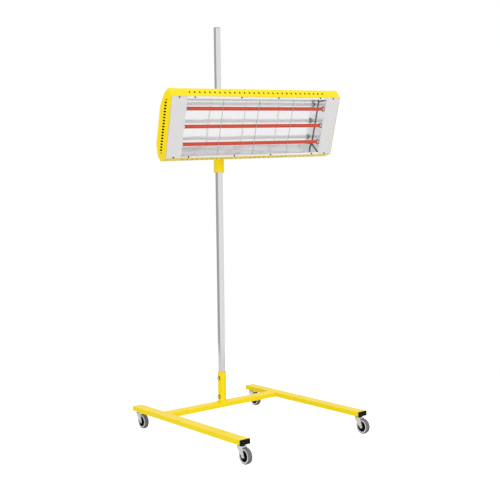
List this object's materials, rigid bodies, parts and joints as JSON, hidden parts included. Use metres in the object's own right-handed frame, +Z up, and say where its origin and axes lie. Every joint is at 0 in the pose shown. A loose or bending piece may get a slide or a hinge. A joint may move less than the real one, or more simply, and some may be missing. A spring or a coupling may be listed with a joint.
{
  "type": "infrared curing lamp",
  "caption": "Infrared curing lamp: wide tilting head with red tube lamps, reflector and vented case, on a sliding arm, a tall round mast and a low base with long legs and casters.",
  "frame": {"origin": "on the floor, under the middle of the mast", "axes": "+Z up along the mast, -Y the way the legs and the lamp face point, +X to the right along the crossbar seen from behind the lamp face"},
  "size_m": [1.0262, 0.9345, 2.089],
  "materials": {
    "yellow_paint": "gloss powder coat",
    "grey_panel": "satin",
    "mast_tube": "drawn tube, satin",
    "grey_plastic": "moulded",
    "reflector_sheet": "polished",
    "zinc_steel": "bright zinc plate",
    "dark_steel": "blackened",
    "black_plastic": "moulded",
    "hub_plastic": "moulded",
    "grey_tyre": "soft, non-marking",
    "white_nylon": "machined",
    "red_quartz": "ruby-coated tube",
    "ceramic": "ceramic, unglazed",
    "wire_steel": "plain wire",
    "red_plastic": "moulded"
  },
  "bodies": {
    "base": {"left_leg": "yellow_paint", "right_leg": "yellow_paint", "crossbar": "yellow_paint", "cap_front_left": "black_plastic", "cap_front_right": "black_plastic", "cap_rear_left": "black_plastic", "cap_rear_right": "black_plastic", "mast_socket": "yellow_paint", "mast": "mast_tube", "mast_cap": "grey_plastic", "socket_bolts": "zinc_steel", "caster_stems": "zinc_steel", "swivel_cups": "dark_steel"},
    "swivel_front_left": {"fork_front_left": "zinc_steel", "axle_front_left": "zinc_steel"},
    "wheel_front_left": {"hub_front_left": "hub_plastic", "tyre_front_left": "grey_tyre"},
    "swivel_front_right": {"fork_front_right": "zinc_steel", "axle_front_right": "zinc_steel"},
    "wheel_front_right": {"hub_front_right": "hub_plastic", "tyre_front_right": "grey_tyre"},
    "swivel_rear_left": {"fork_rear_left": "zinc_steel", "axle_rear_left": "zinc_steel"},
    "wheel_rear_left": {"hub_rear_left": "hub_plastic", "tyre_rear_left": "grey_tyre"},
    "swivel_rear_right": {"fork_rear_right": "zinc_steel", "axle_rear_right": "zinc_steel"},
    "wheel_rear_right": {"hub_rear_right": "hub_plastic", "tyre_rear_right": "grey_tyre"},
    "slide": {"lower_bush": "white_nylon", "upper_bush": "white_nylon"},
    "carriage": {"sleeve": "yellow_paint", "arm": "yellow_paint"},
    "height_lock": {"height_knob": "black_plastic"},
    "roll_lock": {"roll_knob": "black_plastic"},
    "yoke": {"yoke": "yellow_paint"},
    "tilt_lock": {"tilt_knob": "black_plastic"},
    "head": {"pivot_bolt": "zinc_steel", "pivot_bracket": "yellow_paint", "back_cover": "yellow_paint", "case_top": "yellow_paint", "case_bottom": "yellow_paint", "case_left_end": "yellow_paint", "case_right_end": "yellow_paint", "left_end_panel": "grey_panel", "right_end_panel": "grey_panel", "reflector": "reflector_sheet", "reflector_left_end": "reflector_sheet", "reflector_right_end": "reflector_sheet", "lamp_top": "red_quartz", "lamp_middle": "red_quartz", "lamp_bottom": "red_quartz", "lamp_end_caps": "ceramic", "lamp_holders": "ceramic", "guard_wires": "wire_steel", "front_screws": "dark_steel", "terminal_block": "white_nylon", "cable_gland": "black_plastic", "switch_housing": "black_plastic"},
    "rocker": {"switch_rocker": "red_plastic"}
  },
  "joints": [
    {"name": "front_left_swivel", "type": "hinge", "parent": "base", "child": "swivel_front_left", "pos_m": [-0.384, -0.634, 0], "axis": [0, 0, 1], "continuous": true},
    {"name": "front_left_roll", "type": "hinge", "parent": "swivel_front_left", "child": "wheel_front_left", "pos_m": [-0.384, -0.662, 0.0375], "axis": [1, 0, 0], "continuous": true},
    {"name": "front_right_swivel", "type": "hinge", "parent": "base", "child": "swivel_front_right", "pos_m": [0.384, -0.634, 0], "axis": [0, 0, 1], "continuous": true},
    {"name": "front_right_roll", "type": "hinge", "parent": "swivel_front_right", "child": "wheel_front_right", "pos_m": [0.384, -0.662, 0.0375], "axis": [1, 0, 0], "continuous": true},
    {"name": "rear_left_swivel", "type": "hinge", "parent": "base", "child": "swivel_rear_left", "pos_m": [-0.384, 0.209, 0], "axis": [0, 0, 1], "continuous": true},
    {"name": "rear_left_roll", "type": "hinge", "parent": "swivel_rear_left", "child": "wheel_rear_left", "pos_m": [-0.384, 0.181, 0.0375], "axis": [1, 0, 0], "continuous": true},
    {"name": "rear_right_swivel", "type": "hinge", "parent": "base", "child": "swivel_rear_right", "pos_m": [0.384, 0.209, 0], "axis": [0, 0, 1], "continuous": true},
    {"name": "rear_right_roll", "type": "hinge", "parent": "swivel_rear_right", "child": "wheel_rear_right", "pos_m": [0.384, 0.181, 0.0375], "axis": [1, 0, 0], "continuous": true},
    {"name": "height", "type": "slide", "parent": "base", "child": "slide", "axis": [0, 0, 1], "range_m": [-0.85, 0.4]},
    {"name": "swing", "type": "hinge", "parent": "slide", "child": "carriage", "pos_m": [0, 0, 1.588], "axis": [0, 0, 1], "range_deg": [-170, 170]},
    {"name": "arm_roll", "type": "hinge", "parent": "carriage", "child": "yoke", "pos_m": [0, 0, 1.588], "axis": [0.1478, 0.989, 0], "range_deg": [-90, 90]},
    {"name": "head_tilt", "type": "hinge", "parent": "yoke", "child": "head", "pos_m": [-0.03747, -0.25072, 1.588], "axis": [0.988, -0.1477, 0.0454], "range_deg": [-50, 65]},
    {"name": "height_lock_turn", "type": "hinge", "parent": "carriage", "child": "height_lock", "pos_m": [0, 0, 1.62], "axis": [0.1478, 0.989, 0], "range_deg": [0, 360]},
    {"name": "roll_lock_turn", "type": "hinge", "parent": "carriage", "child": "roll_lock", "pos_m": [-0.02723, -0.18218, 1.588], "axis": [0, 0, 1], "range_deg": [0, 360]},
    {"name": "tilt_lock_turn", "type": "hinge", "parent": "yoke", "child": "tilt_lock", "pos_m": [-0.03747, -0.25072, 1.588], "axis": [0.988, -0.1477, 0.0454], "range_deg": [0, 360]},
    {"name": "switch_rock", "type": "hinge", "parent": "head", "child": "rocker", "pos_m": [0.16583, -0.31334, 1.58562], "axis": [0.988, -0.1477, 0.0454], "range_deg": [-16, 0]}
  ]
}
